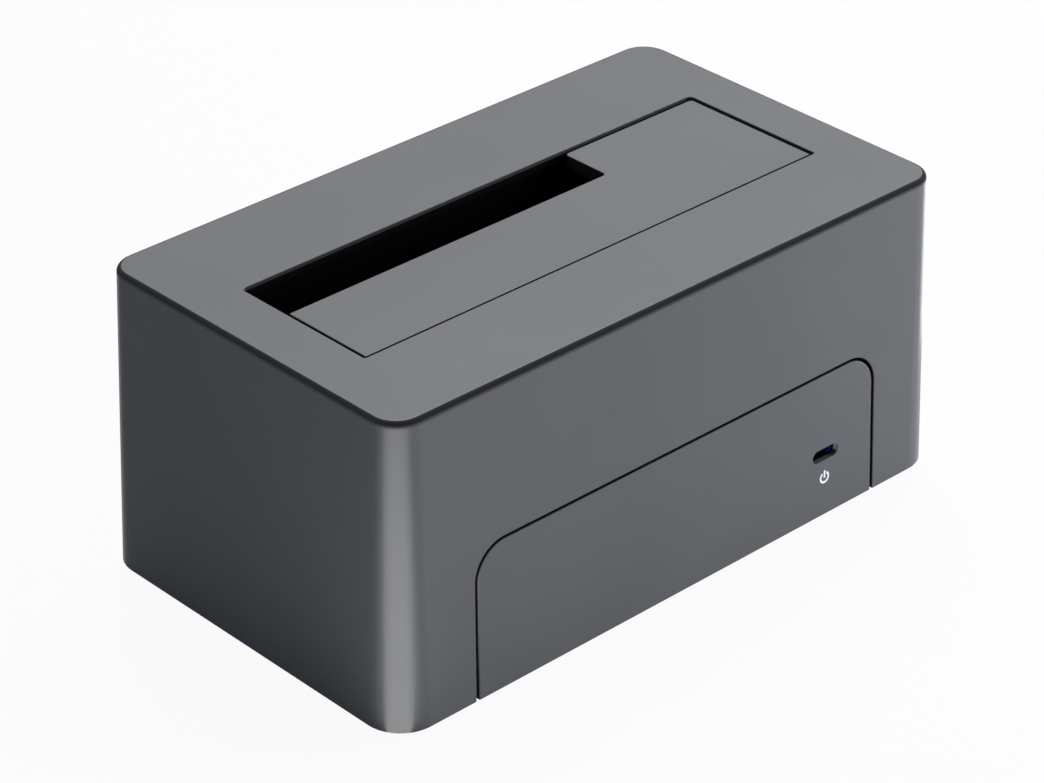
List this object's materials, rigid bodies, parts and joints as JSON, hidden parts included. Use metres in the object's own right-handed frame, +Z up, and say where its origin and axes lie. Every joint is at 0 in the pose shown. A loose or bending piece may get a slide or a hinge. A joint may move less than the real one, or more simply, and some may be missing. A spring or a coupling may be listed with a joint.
{
  "type": "hard drive docking station",
  "caption": "Low box with a sprung L-shaped flap over an upright drive bay, an arched front panel with a lamp window, and a data socket, power inlet and push button at the rear.",
  "frame": {"origin": "on the table, under the middle of the case", "axes": "+X along the case, to the right seen from the front; the front wall faces -Y; +Z up"},
  "size_m": [0.1298, 0.076, 0.0583],
  "materials": {
    "case_plastic": "fine matte texture",
    "base_plastic": "matte",
    "bay_plastic": "matte",
    "dark_lens": "polished, tinted",
    "steel": "plated",
    "screw_steel": "plated",
    "foot_rubber": "matte",
    "board_green": "solder mask",
    "socket_plastic": "fine matte",
    "contact_metal": "gold plated",
    "insert_blue": "satin",
    "pin_chrome": "plated",
    "plunger_white": "satin",
    "lamp_clear": "clear, tinted",
    "chip_resin": "matte",
    "can_metal": "satin",
    "ferrite": "matte"
  },
  "bodies": {
    "case": {"top_cover": "case_plastic", "housing": "case_plastic", "front_panel": "case_plastic", "led_window": "dark_lens", "drive_bay": "bay_plastic", "bay_screws": "screw_steel", "base_plate": "base_plastic", "base_screws": "screw_steel", "rubber_feet": "foot_rubber", "circuit_board": "board_green", "board_screws": "screw_steel", "socket_body": "socket_plastic", "socket_contacts": "contact_metal", "usb_shell": "steel", "usb_insert": "insert_blue", "usb_contacts": "contact_metal", "jack_body": "socket_plastic", "jack_pin": "pin_chrome", "switch_body": "socket_plastic", "switch_spring": "steel", "hinge_pin": "steel", "left_flap_spring": "steel", "right_flap_spring": "steel", "status_led": "lamp_clear", "led_spacer": "socket_plastic", "bridge_chip": "chip_resin", "crystal": "can_metal", "capacitors": "can_metal", "inductors": "ferrite", "regulators": "chip_resin"},
    "flap": {"flap": "case_plastic"},
    "button": {"power_button": "socket_plastic", "switch_plunger": "plunger_white"}
  },
  "joints": [
    {"name": "flap_hinge", "type": "hinge", "parent": "case", "child": "flap", "pos_m": [0.0004, -0.01607, 0.0548], "axis": [-1, 0, 0], "range_deg": [0, 90], "stiffness_Nm_per_rad": 0.006, "springref_deg": -68.75, "deforming": ["left_flap_spring", "right_flap_spring"]},
    {"name": "button_press", "type": "slide", "parent": "case", "child": "button", "axis": [0, -1, 0], "range_m": [0, 0.0022], "stiffness_N_per_m": 400, "springref_m": -0.001, "deforming": ["switch_spring"]}
  ]
}
